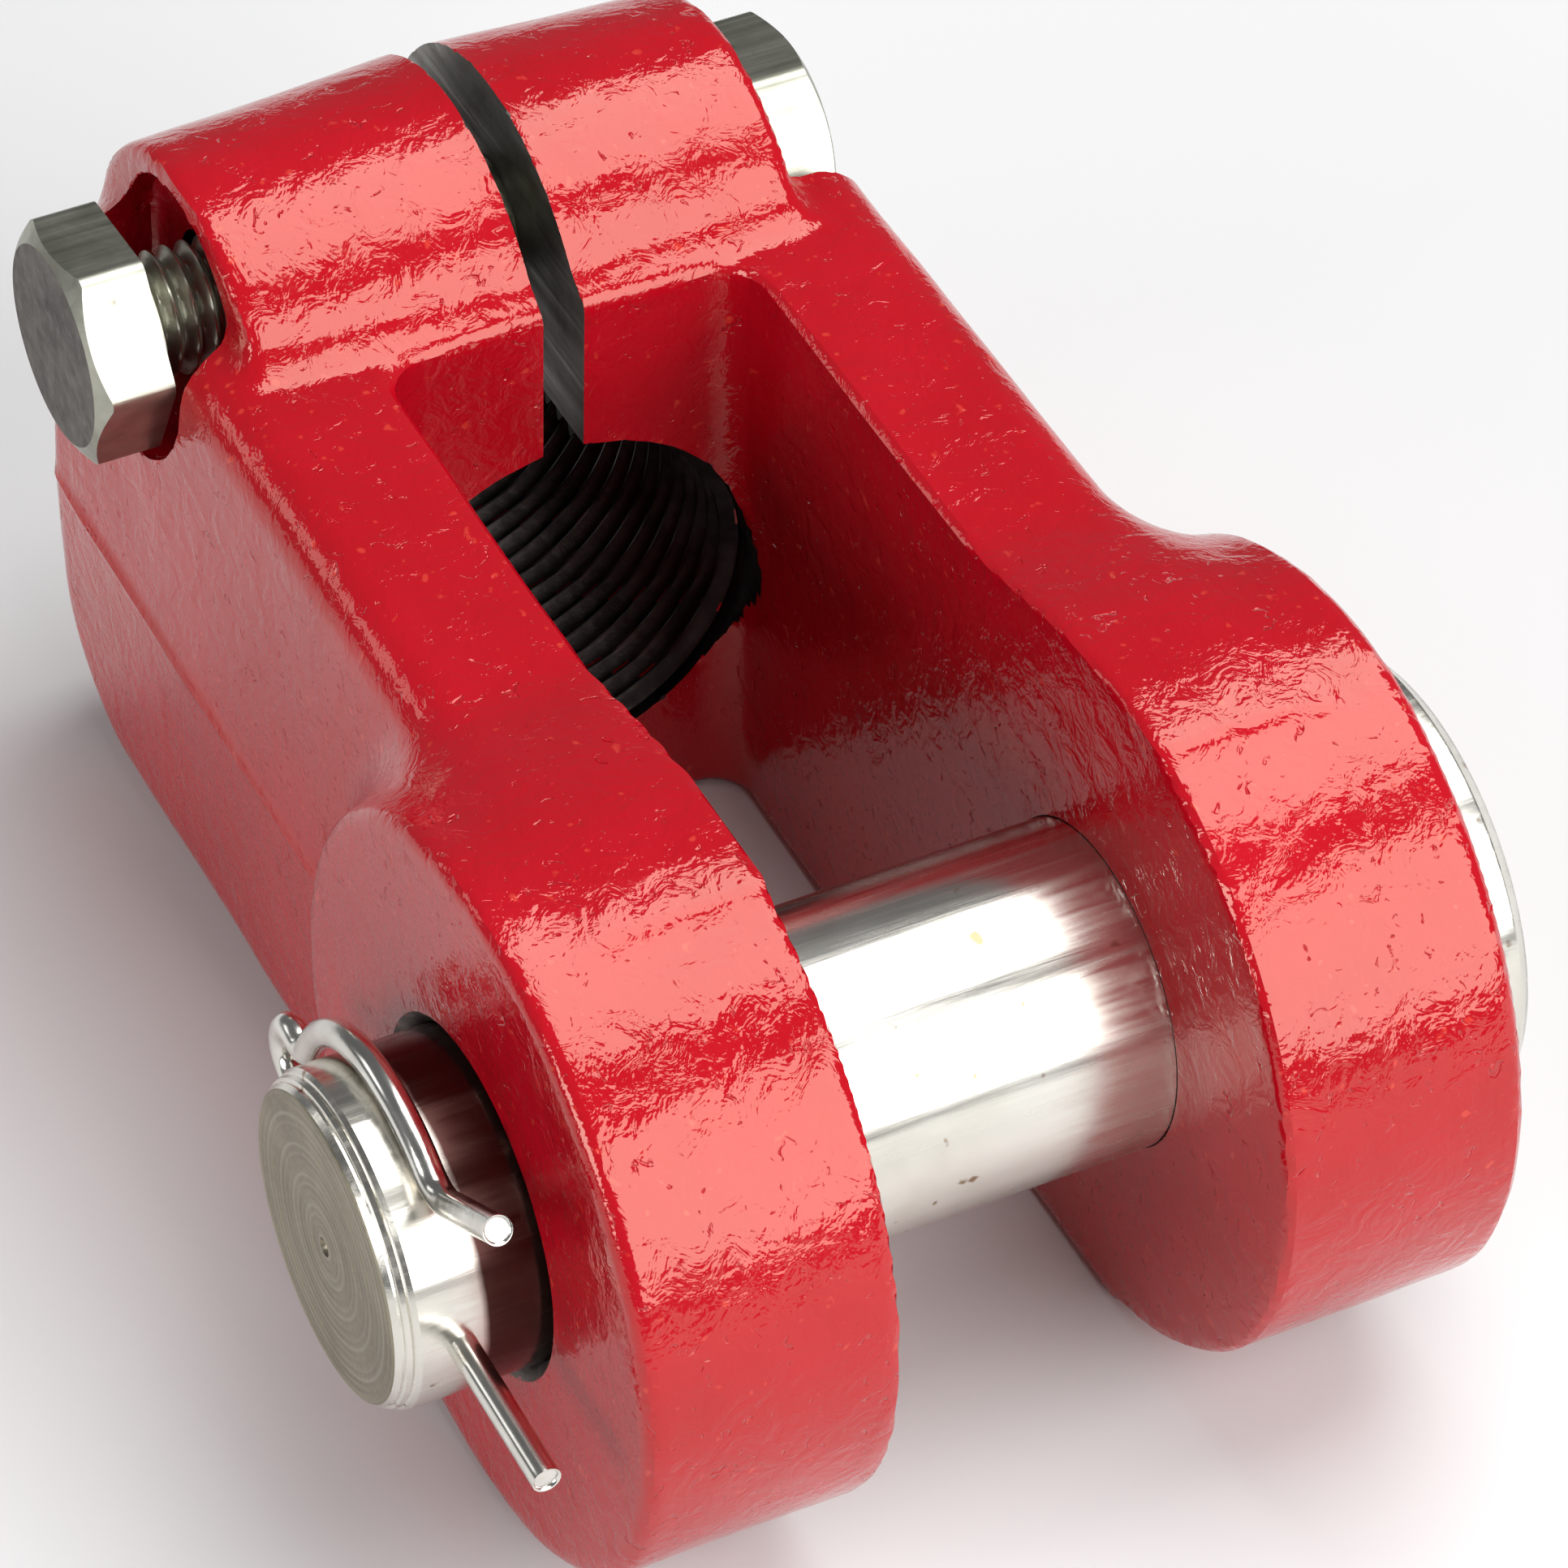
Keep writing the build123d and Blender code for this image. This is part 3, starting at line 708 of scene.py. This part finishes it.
# ---------------------------------------------------------------- clamp screw and nut
at = (SCREW_X, SCREW_Z)
UNDER_HEAD = -28.2
HEX = 17.0
head = hexagon(UNDER_HEAD - 6.4, UNDER_HEAD - 0.4, HEX, 8.0, -5.0, at, (1, 0), washer=(7.7, 0.4))
shank = threaded(UNDER_HEAD - 0.3, UNDER_HEAD + 55.0, 5.0, 4.1, 1.5, at, taper1=1.4)
shank = capped(shank, flip=True)
screw = mesh_object("hex_screw", *joined([head, shank]), sharp_deg=28)
screw.data.materials.append(bolt_steel)
screw.data.materials.append(forged)
for polygon in screw.data.polygons:
    if polygon.center.y < (UNDER_HEAD - 6.38) * MM:
        polygon.material_index = 1
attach(screw, "clamp_screw")
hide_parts("clamp_screw")
nut = mesh_object("hex_nut", *hexagon(19.3, 27.7, HEX, 8.0, -5.0, at, (1, 1), hole=(5.05, 0.6)), sharp_deg=28)
nut.data.materials.append(bolt_steel)
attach(nut, "clamp_nut")
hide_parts("clamp_nut")

# ---------------------------------------------------------------- floor, light and camera
floor_mesh = bpy.data.meshes.new("floor")
floor_mesh.from_pydata([(-3, -3, 0), (3, -3, 0), (3, 3, 0), (-3, 3, 0)], [], [(0, 1, 2, 3)])
floor = bpy.data.objects.new("floor", floor_mesh)
floor.location.z = (BASE_Z - 0.3) * MM
bpy.context.scene.collection.objects.link(floor)
pale = bpy.data.materials.new("pale_floor")
pale.use_nodes = True
pale_shader = pale.node_tree.nodes["Principled BSDF"]
pale_shader.inputs["Base Color"].default_value = (0.66, 0.66, 0.66, 1)
pale_shader.inputs["Roughness"].default_value = 0.9
pale_shader.inputs["Specular IOR Level"].default_value = 0.1
floor.data.materials.append(pale)


LIT_POINT = Vector((-0.03, 0, 0))


def soft_box(name, direction, distance, size, watts):
    light = bpy.data.lights.new(name, "AREA")
    light.shape = "RECTANGLE"
    light.size, light.size_y = size
    light.energy = watts
    obj = bpy.data.objects.new(name, light)
    aim = Vector(direction).normalized()
    obj.location = LIT_POINT + aim * distance
    obj.rotation_euler = aim.to_track_quat("Z", "Y").to_euler()
    bpy.context.scene.collection.objects.link(obj)


def arc_direction(degrees):
    """A direction over the object from the open end of the fork, leaning to the pin's head."""
    return (0.944 * math.cos(math.radians(degrees)), 0.33, 0.944 * math.sin(math.radians(degrees)))


soft_box("over_box", arc_direction(95), 0.8, (0.62, 0.66), 6.2)
soft_box("front_box", arc_direction(32), 0.8, (0.75, 0.66), 7.6)
soft_box("side_box", (0.25, -0.9, 0.35), 0.9, (0.5, 0.4), 4.0)
soft_box("rim_box", (-0.64, -0.69, 0.33), 0.8, (0.30, 0.20), 0.3)
world = bpy.data.worlds.new("studio")
world.use_nodes = True
world.node_tree.nodes["Background"].inputs["Color"].default_value = (0.95, 0.97, 1.0, 1)
world.node_tree.nodes["Background"].inputs["Strength"].default_value = 0.15
bpy.context.scene.world = world
bpy.context.scene.view_settings.view_transform = "Standard"

# The view looks at this point, in millimetres, from this direction and distance.
VIEW_TARGET = (-28.7, -1.7, 0.0)
VIEW_DISTANCE = 533.0
VIEW_AZIMUTH = -27.2
VIEW_ELEVATION = 43.7
VIEW_ROLL = 1.3
VIEW_LENS = 163.35
VIEW_SHIFT = (0.0466, 0.0134)
camera_data = bpy.data.cameras.new("camera")
camera = bpy.data.objects.new("camera", camera_data)
bpy.context.scene.collection.objects.link(camera)
camera_data.sensor_width = 36
camera_data.lens = VIEW_LENS
camera_data.shift_x, camera_data.shift_y = VIEW_SHIFT
camera_data.clip_start = 0.01
azimuth, elevation = math.radians(VIEW_AZIMUTH), math.radians(VIEW_ELEVATION)
away = Vector((math.cos(elevation) * math.cos(azimuth), math.cos(elevation) * math.sin(azimuth),
               math.sin(elevation)))
turn = away.to_track_quat("Z", "Y") @ Quaternion((0, 0, 1), math.radians(VIEW_ROLL))
camera_at = (Vector(VIEW_TARGET) + away * VIEW_DISTANCE) * MM
camera.matrix_world = Matrix.Translation(camera_at) @ turn.to_matrix().to_4x4()
bpy.context.scene.camera = camera
